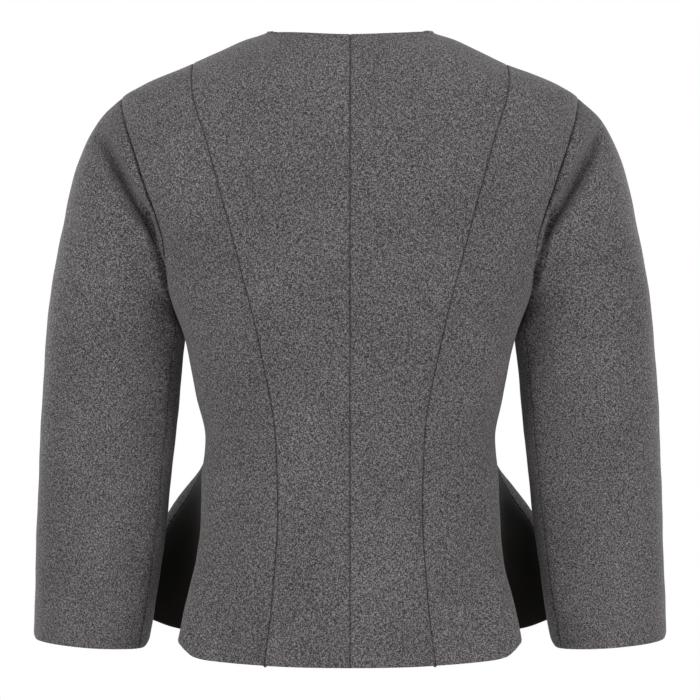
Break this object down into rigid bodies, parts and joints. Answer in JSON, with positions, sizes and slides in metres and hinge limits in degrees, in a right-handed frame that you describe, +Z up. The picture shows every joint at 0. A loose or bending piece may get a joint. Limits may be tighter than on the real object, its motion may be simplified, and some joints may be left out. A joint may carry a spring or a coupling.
{
  "type": "jacket",
  "caption": "Collarless fitted wool jacket in its worn form, with a princess-seamed back, flared hips and bracelet-length set-in sleeves.",
  "frame": {"origin": "midway between the neck points of the two shoulder seams, where the wearer's shoulders carry the jacket", "axes": "+Z up, +Y to the wearer's back, +X to the wearer's left"},
  "size_m": [0.5598, 0.2649, 0.5435],
  "materials": {
    "wool": "fine grey melange wool, matt",
    "lining": "plain black lining cloth",
    "button": "dark grey, satin"
  },
  "bodies": {
    "root": {"back_centre_left": "wool", "back_centre_right": "wool", "back_side_left": "wool", "back_side_right": "wool", "front_side_left": "wool", "front_side_right": "wool", "hip_inset_left": "lining", "hip_inset_right": "lining", "front_left": "wool", "front_right": "wool", "sleeve_upper_head_left": "wool", "sleeve_upper_head_right": "wool", "sleeve_upper_arm_left": "wool", "sleeve_upper_arm_right": "wool", "sleeve_upper_elbow_left": "wool", "sleeve_upper_elbow_right": "wool", "sleeve_upper_cuff_left": "wool", "sleeve_upper_cuff_right": "wool", "sleeve_under_left": "wool", "sleeve_under_right": "wool", "button_1": "button", "button_2": "button", "button_3": "button", "button_4": "button"}
  },
  "joints": []
}
